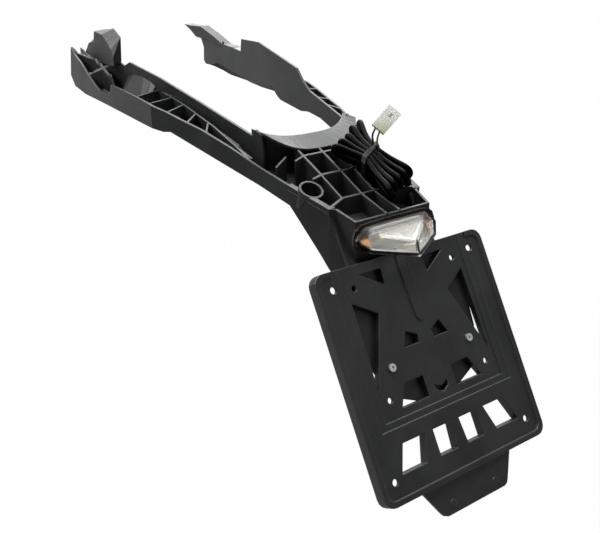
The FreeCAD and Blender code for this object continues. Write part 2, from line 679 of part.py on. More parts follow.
support_part = boolean("cut", "support_part", [support_bored, bracket_part])
doc.recompute()
for item in (whole, plate_frame, support_solid, bracket_part, support_part):
    print(item.Name, item.Shape.isValid(), len(item.Shape.Solids), round(item.Shape.Volume))

# Rear light: each row gives half width, crown height, then (out, height) of shoulder, ridge and foot,
# and the height of the rear foot. Out is measured from the seat of the lens.
LIGHT_BACK = REAR - size("gasket_thick")
LENS = [(0.0, -1.5, 6.6, -7.3, 30.3, -13.1, 34.8, -28.8, -29.8),
        (28.0, -1.5, 6.3, -7.2, 6.9, -7.5, 19.4, -24.9, -26.5),
        (38.0, -2.0, 5.7, -11.4, 6.3, -12.0, 14.0, -23.5, -24.5),
        (size("lens_half"), -12.5, 4.3, -14.2, 4.9, -15.0, 4.9, -17.0, -18.0)]
# The way each of those values moves inwards for 1 mm of wall.
LENS_INWARD = [(0.0, -1.05, -0.85, -0.95, -1.6, -1.1, -1.8, 1.0, 1.0),
               (-0.75, -1.05, -0.8, -1.0, -0.5, -1.2, -0.9, 0.85, 1.05),
               (-1.0, -1.1, -0.8, -0.6, -0.8, -0.7, -0.85, 0.95, 1.05),
               (-1.75, -0.2, -0.9, -0.2, -1.1, 0.0, -1.1, 0.3, 0.55)]


def two_sided(rows):
    """Rows from the middle plane outwards, completed for the other side."""
    return [(-row[0], *row[1:]) for row in rows[::-1] if row[0] > 0.0] + rows


def lens_skin(wall, back):
    rows = [tuple(v + wall * n for v, n in zip(row, inward)) for row, inward in zip(LENS, LENS_INWARD)]
    sections = []
    for x, crown, shoulder, shoulder_z, ridge, ridge_z, foot, foot_z, rear_z in two_sided(rows):
        loop = [(-back, crown), (shoulder, shoulder_z), (ridge, ridge_z), (foot, foot_z), (-back, rear_z)]
        sections.append([VEC(x, LIGHT_BACK - out, z) for out, z in loop])
    return skin(sections)


def rear_frame(place):
    """Sketch plane whose axes are X and Z, extruding along -Y."""
    return FreeCAD.Placement(VEC(0, place, 0), FreeCAD.Rotation(VEC(1, 0, 0), 90.0))


half_lens = size("lens_half")
BACK_OUTLINE = mirrored([(0.0, -30.4), (28.0, -27.4), (38.6, -25.3), (half_lens + 0.8, -18.4),
                         (half_lens + 0.8, -12.2), (half_lens - 2.0, -5.5), (38.4, -1.4), (28.0, -0.6)])
HOUSING_OUTLINE = mirrored([(0.0, -27.4), (26.3, -24.0), (35.7, -21.9), (half_lens - 4.1, -16.2),
                            (half_lens - 4.1, -14.5), (35.7, -9.4), (26.3, -6.8)])
lens_dome = register("lens_dome", lens_skin(0.0, 0.0))
lens_flange = sketch_prism("lens_flange", BACK_OUTLINE, rear_frame(LIGHT_BACK), "Sizes.flange_thick")
lens_room = register("lens_room", lens_skin(size("lens_wall"), 1.0))
lens = boolean("cut", "lens_shell", [boolean("fuse", "lens_blank", [lens_dome, lens_flange]), lens_room])
gasket = sketch_prism("gasket_sheet", BACK_OUTLINE, rear_frame(REAR), "Sizes.gasket_thick")
housing = sketch_prism("housing_plate", HOUSING_OUTLINE, rear_frame(LIGHT_BACK), "Sizes.housing_thick")
base_out = size("housing_thick")
board = sketch_prism("board_plate", [(-26, -22), (26, -22), (26, -11.5), (-26, -11.5)],
                     rear_frame(LIGHT_BACK - base_out), "Sizes.board_thick")
board_front = LIGHT_BACK - base_out - size("board_thick")
led = size("led_size")
LED_AT = (-18.0, -9.0, 0.0, 9.0, 18.0)
LED_DEEP = 1.0
leds = []
for k, x in enumerate(LED_AT, start=1):
    chip = doc.addObject("Part::Box", "led_chip_%d" % k)
    chip.setExpression("Length", "Sizes.led_size")
    chip.setExpression("Height", "Sizes.led_size")
    chip.Width = LED_DEEP
    chip.Placement = FreeCAD.Placement(VEC(x - led / 2.0, board_front - LED_DEEP, -16.5 - led / 2.0),
                                       FreeCAD.Rotation())
    leds.append(chip)


def light_bar(name, rows):
    """Solid through loops of (out, height) at several places across the light."""
    return register(name, skin([[VEC(x, LIGHT_BACK - out, z) for out, z in loop] for x, loop in rows]))


reflector = light_bar("reflector_floor", two_sided([
    (0.0, [(base_out, -27.4), (30.2, -26.5), (29.8, -25.4), (base_out, -26.3)]),
    (26.0, [(base_out, -24.0), (16.9, -23.0), (16.3, -21.9), (base_out, -22.9)]),
    (35.5, [(base_out, -21.8), (11.3, -21.3), (10.6, -20.2), (base_out, -20.9)])]))
diffuser = light_bar("diffuser_sheet", two_sided([
    (0.0, [(base_out, -8.9), (24.3, -15.0), (24.3, -16.2), (base_out, -10.1)]),
    (24.0, [(base_out, -9.0), (6.6, -10.3), (6.6, -11.5), (base_out, -10.2)])]))
guide = light_bar("guide_bar", two_sided([
    (0.0, [(24.6, -15.3), (26.9, -15.9), (27.5, -18.3), (25.0, -18.3)]),
    (24.0, [(6.9, -10.9), (7.7, -11.1), (9.6, -13.4), (7.4, -13.4)])]))
window = light_bar("lamp_window", two_sided([
    (0.0, [(28.0, -18.9), (30.1, -25.0), (28.7, -25.0), (26.6, -18.9)]),
    (17.0, [(18.1, -18.9), (20.8, -22.7), (19.4, -22.7), (16.7, -18.9)])]))
AMBER = [(33.5, [(base_out, -14.0), (5.6, -14.3), (9.9, -19.6), (base_out, -20.4)]),
         (40.0, [(base_out, -14.8), (3.1, -15.1), (4.9, -17.5), (base_out, -17.8)])]
ambers = [light_bar("amber_%s" % tag, [(side * x, loop) for x, loop in AMBER])
          for side, tag in ((-1, "left"), (1, "right"))]

# Fasteners.
screws = []
for k, (u, v) in enumerate(screw_at):
    head = plate_cylinder("screw_head_%d" % k, u, v, "Sizes.head_r", web_front, web_front + size("head_tall"))
    shank = plate_cylinder("screw_shank_%d" % k, u, v, "Sizes.shank_r", web_front - size("shank_long"), web_front)
    drive = plate_cylinder("screw_socket_%d" % k, u, v, 1.3, web_front + size("head_tall") - 1.3, web_front + 3.0)
    joined = boolean("fuse", "screw_blank_%d" % k, [head, shank])
    screws.append(boolean("cut", "screw_%d" % k, [joined, drive]))

# Cable: a grommet in the rear wall, a short lead, the tied hank and its connector.
cable = size("cable_r")
FLANGE = 2.0
LEAD_ACROSS = 18.0
LEAD = [VEC(LEAD_ACROSS, REAR + 2.0 + FLANGE, -5.5), VEC(LEAD_ACROSS, -50, -5.5), VEC(LEAD_ACROSS, -40.9, -1.3),
        VEC(LEAD_ACROSS, -31.0, 10.5)]
WIRES = {"black": [VEC(30.0, -2.3, 60.4), VEC(27.0, -1.4, 54.5), VEC(28.5, -3.0, 41.0)],
         "green": [VEC(32.4, -5.5, 57.4), VEC(30.2, -5.0, 52.0), VEC(30.6, -4.6, 41.0)]}


def tube(name, points, radius):
    """Round tube along straight runs joined by tangent arcs."""
    edges = []
    start = points[0]
    for before, corner, after in zip(points, points[1:], points[2:]):
        first, second = corner - before, after - corner
        turn = first.getAngle(second)
        bend = 0.45 * min(first.Length, second.Length) / math.tan(turn / 2.0)
        print(name, "turn radius", round(bend, 1))
        back = bend * math.tan(turn / 2.0)
        a = corner - VEC(first).normalize() * back
        b = corner + VEC(second).normalize() * back
        inward = (VEC(second).normalize() - VEC(first).normalize()).normalize()
        centre = corner + inward * (bend / math.cos(turn / 2.0))
        middle = centre + (corner - centre).normalize() * bend
        edges.append(Part.makeLine(start, a))
        edges.append(Part.Arc(a, middle, b).toShape())
        start = b
    edges.append(Part.makeLine(start, points[-1]))
    path = Part.Wire(edges)
    ring = Part.Wire(Part.makeCircle(radius, points[0], points[1] - points[0]))
    return register(name, path.makePipeShell([ring], True, True))


lead_tube = tube("lead_tube", LEAD, cable)
BED = [(REAR, 2.8), (-29.0, 12.4), (2.0, 27.4), (20.0, 36.6), (42.0, 49.8)]
FAN = size("hank_thick")
HANK = [((18.0, 27.0), 34.0, 1.0, FAN - 8.0), ((17.5, 20.0), 33.5, 0.4, FAN - 2.0), ((18.5, 6.0), 24.0, 0.6, FAN),
        ((20.0, -8.0), 14.5, 2.6, size("hank_waist")), ((22.0, -24.0), 23.0, 0.6, FAN - 1.0),
        ((24.0, -41.0), 30.5, 0.4, FAN - 3.0), ((25.0, -47.5), 31.5, 0.5, FAN - 9.0)]


def hank_loop(centre, wide, lift, tall, grow=0.0):
    loop = []
    for t, height in ((-1.0, 0.28), (-0.86, 0.0), (0.86, 0.0), (1.0, 0.28), (1.0, 0.72), (0.84, 1.0), (-0.84, 1.0), (-1.0, 0.72)):
        span = (wide + grow) * t
        x, y = centre[0] + span * 0.9, centre[1] + span * 0.435
        z = along(BED, y) + lift + height * tall + (grow if height > 0.5 else -grow)
        loop.append(VEC(x, y, z))
    return loop


hank_blank = register("hank_blank", skin([hank_loop(*row) for row in HANK]))
waist = size("hank_waist")
tie_blank = register("tie_blank", skin([hank_loop((19.75, -5.8), 16.0, 2.3, waist + 0.4, 1.3),
                                        hank_loop((20.3, -10.4), 15.8, 2.3, waist + 0.4, 1.3)]))
wires = [tube("wire_%s_tube" % name, points, size("wire_r")) for name, points in WIRES.items()]
tie = boolean("cut", "tie_band", [tie_blank, boolean("fuse", "tied_pieces", [hank_blank] + wires)])
hank = boolean("cut", "hank_seated", [hank_blank, boolean("fuse", "hank_ends", [lead_tube] + wires)])
lead = boolean("cut", "lead_cut", [lead_tube, register("hank_space", hank_blank.Shape)])

# Grommet in the rear wall, where the lead leaves the light.
GROMMET = VEC(LEAD_ACROSS, REAR, LEAD[0].z)


def along_cable(name, radius, start, length):
    post = doc.addObject("Part::Cylinder", name)
    post.Radius = radius
    post.Height = length
    post.Placement = FreeCAD.Placement(GROMMET + VEC(0, start, 0), FreeCAD.Rotation(VEC(1, 0, 0), -90.0))
    return post


neck_r = cable + 1.0
grommet_neck = along_cable("grommet_neck", neck_r, 0.0, 2.0)
grommet_flange = along_cable("grommet_flange", cable + 2.4, 2.0, FLANGE)
grommet = boolean("fuse", "grommet", [grommet_neck, grommet_flange])
grommet_hole = along_cable("grommet_hole", neck_r, -1.0, 4.0)
notch = doc.addObject("Part::Box", "rib_notch")
notch.Length = 2.0 * cable + 3.0
notch.Width = 8.0
notch.Height = 20.0
notch.Placement = FreeCAD.Placement(VEC(LEAD_ACROSS - cable - 1.5, -33.0, 1.0), FreeCAD.Rotation())
bracket_final = boolean("cut", "bracket_final", [bracket_part, boolean("fuse", "cable_spaces", [grommet_hole, notch])])

# Connector: a small shell with a latch window, its two crimp terminals inside.
LONG, WIDE, DEEP = size("connector_long"), size("connector_wide"), size("connector_tall")
PLUG_AXIS = VEC(0.7104, -0.1602, 0.6853)
PLUG_WIDE = VEC(0.4685, -0.643, -0.6059)
PLUG_DEEP = VEC(0.5378, 0.7516, -0.3818)
PLUG_AT = VEC(40.0, -5.9, 67.4)


def plug_box(name, low, high):
    """Box in the connector's own frame: across, deep and along."""
    loop = []
    for a, b in ((low[0], low[1]), (high[0], low[1]), (high[0], high[1]), (low[0], high[1])):
        loop.append((a, b))
    rows = [[PLUG_AT + PLUG_WIDE * a + PLUG_DEEP * b + PLUG_AXIS * c for a, b in loop] for c in (low[2], high[2])]
    return register(name, skin(rows))


shell_outer = plug_box("plug_outer", (-WIDE / 2, -DEEP / 2, -LONG / 2), (WIDE / 2, DEEP / 2, LONG / 2))
shell_bores = []
for k, side in enumerate((-1, 1)):
    middle = side * WIDE / 4.0
    shell_bores.append(plug_box("plug_bore_%d" % k, (middle - 2.6, -2.8, 2.0 - LONG / 2), (middle + 2.6, 2.8, LONG / 2 + 1)))
latch = plug_box("plug_latch", (-1.0, -DEEP, 3.0), (1.6, 0.0, 7.0))
shell = boolean("cut", "plug_shell", [shell_outer, boolean("fuse", "plug_spaces", shell_bores + [latch])])
pins = []
for k, side in enumerate((-1, 1)):
    middle = side * WIDE / 4.0
    pins.append(plug_box("plug_pin_%d" % k, (middle - 1.6, -0.6, 2.0 - LONG / 2), (middle + 1.6, 0.6, LONG / 2 - 3.0)))
wire_parts = [boolean("cut", "wire_%d" % k, [wire, register("plug_room_%d" % k, shell_outer.Shape)])
              for k, wire in enumerate(wires)]
doc.recompute()
NODES = {"carrier_bracket": bracket_final, "tail_support": support_part, "plate_frame": plate_frame,
         "plate_screw_left": screws[0], "plate_screw_right": screws[1], "light_gasket": gasket,
         "light_housing": housing, "light_lens": lens, "light_reflector": reflector, "light_diffuser": diffuser,
         "light_guide": guide,
         "plate_lamp_window": window, "circuit_board": board, "amber_reflector_left": ambers[0],
         "amber_reflector_right": ambers[1], "cable_grommet": grommet, "cable_lead": lead, "cable_hank": hank,
         "cable_tie": tie, "wire_black": wire_parts[0], "wire_green": wire_parts[1], "connector_housing": shell,
         "connector_terminal_left": pins[0], "connector_terminal_right": pins[1]}
for k, chip in enumerate(leds, start=1):
    NODES["led_%d" % k] = chip
doc.recompute()

for label, item in NODES.items():
    item.Label = label
for item in doc.Objects:
    if "Invalid" in item.State or "Error" in item.State:
        raise RuntimeError("%s failed: %s" % (item.Label, item.State))
for label, item in NODES.items():
    if item.Shape.isNull() or not item.Shape.isValid():
        raise RuntimeError("%s has no valid shape" % label)
    item.Shape.exportStep("parts/%s.step" % label)
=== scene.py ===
"""Studio scene for a moulded tail tidy: carrier, tail support, plate frame, rear light and tied cable.

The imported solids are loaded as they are. This script gives each one its material, draws the cable as one
line through its lead and hank, and sets up the camera, the floor and the lamps. Lengths are in metres, or in
millimetres where a name ends in _mm.
"""

import logging
import math
from dataclasses import dataclass
from enum import Enum
from typing import Any, Dict, List, Optional, Sequence, Tuple, Union

import bpy
import numpy as np
from mathutils import Matrix, Vector


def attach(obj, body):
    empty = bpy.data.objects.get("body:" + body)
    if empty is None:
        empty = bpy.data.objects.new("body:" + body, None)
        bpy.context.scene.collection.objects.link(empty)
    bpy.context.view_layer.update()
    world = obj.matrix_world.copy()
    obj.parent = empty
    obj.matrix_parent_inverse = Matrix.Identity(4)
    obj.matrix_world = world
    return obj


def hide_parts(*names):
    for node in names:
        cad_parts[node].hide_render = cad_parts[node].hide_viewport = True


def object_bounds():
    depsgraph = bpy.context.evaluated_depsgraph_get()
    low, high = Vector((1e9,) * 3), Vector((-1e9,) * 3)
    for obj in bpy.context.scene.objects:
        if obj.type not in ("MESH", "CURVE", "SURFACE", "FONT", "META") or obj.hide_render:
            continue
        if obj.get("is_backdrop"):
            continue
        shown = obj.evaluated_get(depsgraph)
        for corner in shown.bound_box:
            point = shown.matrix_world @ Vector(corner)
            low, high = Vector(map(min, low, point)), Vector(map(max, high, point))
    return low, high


log = logging.getLogger("tail_tidy")
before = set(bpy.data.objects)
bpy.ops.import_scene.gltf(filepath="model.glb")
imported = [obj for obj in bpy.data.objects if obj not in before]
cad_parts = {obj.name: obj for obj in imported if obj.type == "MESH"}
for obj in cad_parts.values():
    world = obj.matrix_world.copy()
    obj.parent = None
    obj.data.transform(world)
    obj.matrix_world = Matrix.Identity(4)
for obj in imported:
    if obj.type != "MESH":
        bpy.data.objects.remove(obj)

Pair = Tuple[float, float]
Vec = Tuple[float, float, float]
SocketKey = Union[int, str]

MM = 0.001
LED_COUNT = 5

# sockets of a Mix node that is set to colour
MIX_SHARE, MIX_FIRST, MIX_SECOND, MIX_RESULT = 0, 6, 7, 2


def linear(hex_code: str, alpha: float = 1.0) -> Tuple[float, float, float, float]:
    """Turn an sRGB hex colour into linear light.

    Args:
        hex_code: Six hex digits, with or without a hash.
        alpha: Opacity carried in the fourth channel.

    Returns:
        Linear red, green and blue with alpha.
    """
    text = hex_code.lstrip("#")
    channels = [int(text[i:i + 2], 16) / 255.0 for i in (0, 2, 4)]
    out = [c / 12.92 if c <= 0.04045 else ((c + 0.055) / 1.055) ** 2.4 for c in channels]
    return out[0], out[1], out[2], alpha


def per_metre(size_mm: float) -> float:
    """Scale of a pattern whose features are so many millimetres across."""
    return 1000.0 / size_mm


def add_node(tree: bpy.types.NodeTree, kind: str, settings: Optional[Dict[SocketKey, Any]] = None,
             links: Optional[Dict[SocketKey, bpy.types.NodeSocket]] = None) -> bpy.types.Node:
    """Add one shader node, set it up and link it.

    Args:
        tree: Node tree that receives the node.
        kind: Blender's type name of the node.
        settings: Attribute names, or names or numbers of constant inputs, with their values.
        links: Names or numbers of inputs with the output sockets that feed them.

    Returns:
        The new node.
    """
    node = tree.nodes.new(kind)
    for key, value in (settings or {}).items():
        if isinstance(key, int) or key in node.inputs:
            node.inputs[key].default_value = value
        else:
            setattr(node, key, value)
    for key, source in (links or {}).items():
        tree.links.new(source, node.inputs[key])
    return node


def fresh_material(name: str) -> Tuple[bpy.types.Material, bpy.types.NodeTree]:
    """Make an empty node material.

    Args:
        name: Name of the material.

    Returns:
        The material and its cleared node tree.
    """
    material = bpy.data.materials.new(name)
    material.use_nodes = True
    material.node_tree.nodes.clear()
    return material, material.node_tree


@dataclass(frozen=True)
class MouldedPolypropylene:
    """Glass-filled polypropylene, moulded in a spark-eroded tool.

    The fine grain breaks reflections up into a satin grey sheen on faces turned to the light. The flow of the
    melt leaves faint clouds in tone and gloss. Edges are painted paler, a painted highlight for the light that
    their rounding catches. The grain is drawn about twice as coarse as a real one, so that it shows.
    """

    name: str
    colour: str = "#1F2021"
    cloud_and_highlight_colour: str = "#4A4B4C"
    roughness: float = 0.42
    gloss_swing: Pair = (-0.05, 0.07)
    gloss_range: Pair = (0.3, 0.7)
    ior: float = 1.49
    grain_mm: float = 0.45
    grain_depth_mm: float = 0.2
    grain_strength: float = 0.12
    flow_mm: float = 45.0
    flow_twist: float = 0.6
    flow_range: Pair = (0.35, 0.65)
    flow_paleness: float = 0.09
    edge_mm: float = 0.9
    edge_cosines: Pair = (0.99, 0.75)
    edge_highlight_strength: float = 0.5

    def build(self) -> bpy.types.Material:
        """Build the grain, the flow clouds and the painted highlight on the edges.

        The pale share is the larger of two shares: the cloud's, and the painted edge highlight's, which grows
        as the cosine between the rounded and the plain normal falls. It mixes the pale colour into the plain
        one.

        Returns:
            The material.
        """
        material, tree = fresh_material(self.name)
        place = add_node(tree, "ShaderNodeTexCoord").outputs["Object"]
        grain = add_node(tree, "ShaderNodeTexNoise", {"Scale": per_metre(self.grain_mm), "Detail": 2.0},
                         {"Vector": place})
        flow = add_node(tree, "ShaderNodeTexNoise",
                        {"Scale": per_metre(self.flow_mm), "Detail": 4.0, "Distortion": self.flow_twist},
                        {"Vector": place})
        rounded = add_node(tree, "ShaderNodeBevel", {"samples": 8, "Radius": self.edge_mm * MM})
        plain = add_node(tree, "ShaderNodeNewGeometry")
        turn = add_node(tree, "ShaderNodeVectorMath", {"operation": "DOT_PRODUCT"},
                        {0: rounded.outputs["Normal"], 1: plain.outputs["Normal"]})
        # painted highlight: edges turn towards the pale colour where the rounded normal leaves the plain one
        edge = add_node(tree, "ShaderNodeMapRange",
                        {"From Min": self.edge_cosines[0], "From Max": self.edge_cosines[1], "To Min": 0.0,
                         "To Max": self.edge_highlight_strength}, {"Value": turn.outputs["Value"]})
        cloud = add_node(tree, "ShaderNodeMapRange",
                         {"From Min": self.flow_range[0], "From Max": self.flow_range[1], "To Min": 0.0,
                          "To Max": self.flow_paleness}, {"Value": flow.outputs["Fac"]})
        cloud_and_highlight_share = add_node(tree, "ShaderNodeMath", {"operation": "MAXIMUM"},
                       {0: edge.outputs["Result"], 1: cloud.outputs["Result"]})
        colour = add_node(tree, "ShaderNodeMix",
                          {"data_type": "RGBA", MIX_FIRST: linear(self.colour), MIX_SECOND: linear(self.cloud_and_highlight_colour)},
                          {MIX_SHARE: cloud_and_highlight_share.outputs["Value"]})
        rough = add_node(tree, "ShaderNodeMapRange",
                         {"From Min": self.gloss_range[0], "From Max": self.gloss_range[1],
                          "To Min": self.roughness + self.gloss_swing[0],
                          "To Max": self.roughness + self.gloss_swing[1]}, {"Value": flow.outputs["Fac"]})
        bump = add_node(tree, "ShaderNodeBump",
                        {"Strength": self.grain_strength, "Distance": self.grain_depth_mm * MM},
                        {"Height": grain.outputs["Fac"], "Normal": rounded.outputs["Normal"]})
        shader = add_node(tree, "ShaderNodeBsdfPrincipled", {"IOR": self.ior},
                          {"Base Color": colour.outputs[MIX_RESULT], "Roughness": rough.outputs["Result"],
                           "Normal": bump.outputs["Normal"]})
        add_node(tree, "ShaderNodeOutputMaterial", None, {"Surface": shader.outputs["BSDF"]})
        return material


@dataclass(frozen=True)
class SolidFinish:
    """One opaque finish, two close colours mottled into each other under a fine grain."""

    name: str
    colour: str
    second: str
    roughness: float
    gloss_swing: Pair = (-0.04, 0.06)
    metallic: float = 0.0
    specular: float = 0.5
    coat: float = 0.0
    mottle_mm: float = 8.0
    grain_mm: float = 0.6
    grain_depth_mm: float = 0.2
    grain_strength: float = 0.05

    def build(self) -> bpy.types.Material:
        """Build the mottled colour and gloss with the grain over them; return the material."""
        material, tree = fresh_material(self.name)
        place = add_node(tree, "ShaderNodeTexCoord").outputs["Object"]
        mottle = add_node(tree, "ShaderNodeTexNoise", {"Scale": per_metre(self.mottle_mm), "Detail": 3.0},
                          {"Vector": place})
        grain = add_node(tree, "ShaderNodeTexNoise", {"Scale": per_metre(self.grain_mm), "Detail": 1.0},
                         {"Vector": place})
        colour = add_node(tree, "ShaderNodeMix",
                          {"data_type": "RGBA", MIX_FIRST: linear(self.colour),
                           MIX_SECOND: linear(self.second)}, {MIX_SHARE: mottle.outputs["Fac"]})
        rough = add_node(tree, "ShaderNodeMapRange",
                         {"To Min": self.roughness + self.gloss_swing[0],
                          "To Max": self.roughness + self.gloss_swing[1]}, {"Value": mottle.outputs["Fac"]})
        bump = add_node(tree, "ShaderNodeBump",
                        {"Strength": self.grain_strength, "Distance": self.grain_depth_mm * MM},
                        {"Height": grain.outputs["Fac"]})
        shader = add_node(tree, "ShaderNodeBsdfPrincipled",
                          {"Metallic": self.metallic, "Coat Weight": self.coat,
                           "Specular IOR Level": self.specular},
                          {"Base Color": colour.outputs[MIX_RESULT], "Roughness": rough.outputs["Result"],
                           "Normal": bump.outputs["Normal"]})
        add_node(tree, "ShaderNodeOutputMaterial", None, {"Surface": shader.outputs["BSDF"]})
        return material


@dataclass(frozen=True)
class ClearPlastic:
    """Clear moulded plastic, polished outside, with faint flow waves or a pattern of prisms.

    A stipple can be moulded into the faces that look up, which spreads the light there and turns a mirror of
    the lamps into a soft pale field. The lens and the diffuser have a lower IOR than real plastic, so that what
    they mirror from above doesn't wash out the inside of the light.
    """

    name: str
    tint: str = "#FAFAF9"
    roughness: float = 0.03
    ior: float = 1.585
    shadow_tint: str = "#EEEEED"
    edge_mm: float = 0.7
    wave_mm: float = 6.0
    prism_mm: float = 0.0
    wave_depth_mm: float = 0.5
    wave_strength: float = 0.05
    stipple_mm: float = 0.0
    stipple_depth_mm: float = 0.4
    stipple_strength: float = 0.6
    stipple_roughness: float = 0.3
    stipple_from_up: Pair = (0.45, 0.6)

    def relief(self, tree: bpy.types.NodeTree, place: bpy.types.NodeSocket) -> bpy.types.NodeSocket:
        """Build the height of the waves or the prisms.

        Args:
            tree: Node tree of the material.
            place: Object coordinates.

        Returns:
            The socket that carries the height.
        """
        if self.prism_mm > 0.0:
            cells = add_node(tree, "ShaderNodeTexVoronoi", {"Scale": per_metre(self.prism_mm)},
                             {"Vector": place})
            return cells.outputs["Distance"]
        waves = add_node(tree, "ShaderNodeTexNoise", {"Scale": per_metre(self.wave_mm), "Detail": 1.0},
                         {"Vector": place})
        return waves.outputs["Fac"]

    def stipple(self, tree: bpy.types.NodeTree, place: bpy.types.NodeSocket,
                smooth: bpy.types.NodeSocket) -> Dict[SocketKey, bpy.types.NodeSocket]:
        """Build pits and roughness on the faces that look up, by how far their plain normal points up.

        Args:
            tree: Node tree of the material.
            place: Object coordinates.
            smooth: Normal under the stipple.

        Returns:
            The normal and the roughness for the shader's inputs of those names.
        """
        plain = add_node(tree, "ShaderNodeNewGeometry")
        facing = add_node(tree, "ShaderNodeSeparateXYZ", None, {"Vector": plain.outputs["Normal"]})
        upward = add_node(tree, "ShaderNodeMapRange",
                          {"From Min": self.stipple_from_up[0], "From Max": self.stipple_from_up[1]},
                          {"Value": facing.outputs["Z"]})
        cells = add_node(tree, "ShaderNodeTexVoronoi", {"Scale": per_metre(self.stipple_mm)},
                         {"Vector": place})
        pits = add_node(tree, "ShaderNodeMath", {"operation": "MULTIPLY"},
                        {0: cells.outputs["Distance"], 1: upward.outputs["Result"]})
        bump = add_node(tree, "ShaderNodeBump",
                        {"Strength": self.stipple_strength, "Distance": self.stipple_depth_mm * MM},
                        {"Height": pits.outputs["Value"], "Normal": smooth})
        rough = add_node(tree, "ShaderNodeMapRange",
                         {"To Min": self.roughness, "To Max": self.stipple_roughness},
                         {"Value": upward.outputs["Result"]})
        return {"Normal": bump.outputs["Normal"], "Roughness": rough.outputs["Result"]}

    def build(self) -> bpy.types.Material:
        """Build glass that lets light through for shadow rays; return the material."""
        material, tree = fresh_material(self.name)
        place = add_node(tree, "ShaderNodeTexCoord").outputs["Object"]
        height = self.relief(tree, place)
        rounded = add_node(tree, "ShaderNodeBevel", {"samples": 4, "Radius": self.edge_mm * MM})
        bump = add_node(tree, "ShaderNodeBump",
                        {"Strength": self.wave_strength, "Distance": self.wave_depth_mm * MM},
                        {"Height": height, "Normal": rounded.outputs["Normal"]})
        surface: Dict[SocketKey, bpy.types.NodeSocket] = {"Normal": bump.outputs["Normal"]}
        if self.stipple_mm > 0.0:
            surface = self.stipple(tree, place, bump.outputs["Normal"])
        shader = add_node(tree, "ShaderNodeBsdfPrincipled",
                          {"Base Color": linear(self.tint), "Roughness": self.roughness, "IOR": self.ior,
                           "Transmission Weight": 1.0}, surface)
        clear = add_node(tree, "ShaderNodeBsdfTransparent", {"Color": linear(self.shadow_tint)})
        path = add_node(tree, "ShaderNodeLightPath")
        mix = add_node(tree, "ShaderNodeMixShader", None,
                       {0: path.outputs["Is Shadow Ray"], 1: shader.outputs["BSDF"], 2: clear.outputs["BSDF"]})
        add_node(tree, "ShaderNodeOutputMaterial", None, {"Surface": mix.outputs["Shader"]})
        return material


@dataclass(frozen=True)
class SilveredPlastic:
    """Plastic of the light's housing, silvered by vacuum behind the lamps and left dark at both ends.

    The middle throws light back evenly, and the ends look smoky through the lens.
    """

    name: str
    colour: str = "#C2C2BF"
    bare: str = "#3A3633"
    silver_to_mm: float = 26.0
    bare_from_mm: float = 33.0
    roughness: float = 0.3
    metallic: float = 0.35

    def build(self) -> bpy.types.Material:
        """Build the silver and its fade to bare plastic by distance from the middle; return the material."""
        material, tree = fresh_material(self.name)
        place = add_node(tree, "ShaderNodeTexCoord").outputs["Object"]
        parts = add_node(tree, "ShaderNodeSeparateXYZ", None, {"Vector": place})
        out = add_node(tree, "ShaderNodeMath", {"operation": "ABSOLUTE"}, {0: parts.outputs["X"]})
        fade = add_node(tree, "ShaderNodeMapRange",
                        {"From Min": self.silver_to_mm * MM, "From Max": self.bare_from_mm * MM},
                        {"Value": out.outputs["Value"]})
        colour = add_node(tree, "ShaderNodeMix",
                          {"data_type": "RGBA", MIX_FIRST: linear(self.colour), MIX_SECOND: linear(self.bare)},
                          {MIX_SHARE: fade.outputs["Result"]})
        shader = add_node(tree, "ShaderNodeBsdfPrincipled",
                          {"Metallic": self.metallic, "Roughness": self.roughness},
                          {"Base Color": colour.outputs[MIX_RESULT]})
        add_node(tree, "ShaderNodeOutputMaterial", None, {"Surface": shader.outputs["BSDF"]})
        return material


@dataclass(frozen=True)
class NaturalNylon:
    """Unfilled nylon as moulded: milky, lets some light through, and greener and darker towards the bottom."""

    name: str
    colour: str = "#FAFBF5"
    # colour towards the bottom, greener and darker
    low_colour: str = "#CCD6A4"
    low_to_mm: float = 57.0
    plain_from_mm: float = 69.0
    roughness: float = 0.5
    ior: float = 1.53
    through: float = 0.25

    def build(self) -> bpy.types.Material:
        """Build the milky plastic with its colour run along the height; return the material."""
        material, tree = fresh_material(self.name)
        place = add_node(tree, "ShaderNodeTexCoord").outputs["Object"]
        parts = add_node(tree, "ShaderNodeSeparateXYZ", None, {"Vector": place})
        run = add_node(tree, "ShaderNodeMapRange",
                       {"From Min": self.low_to_mm * MM, "From Max": self.plain_from_mm * MM},
                       {"Value": parts.outputs["Z"]})
        colour = add_node(tree, "ShaderNodeMix",
                          {"data_type": "RGBA", MIX_FIRST: linear(self.low_colour), MIX_SECOND: linear(self.colour)},
                          {MIX_SHARE: run.outputs["Result"]})
        shader = add_node(tree, "ShaderNodeBsdfPrincipled",
                          {"Roughness": self.roughness, "IOR": self.ior, "Transmission Weight": self.through},
                          {"Base Color": colour.outputs[MIX_RESULT]})
        add_node(tree, "ShaderNodeOutputMaterial", None, {"Surface": shader.outputs["BSDF"]})
        return material


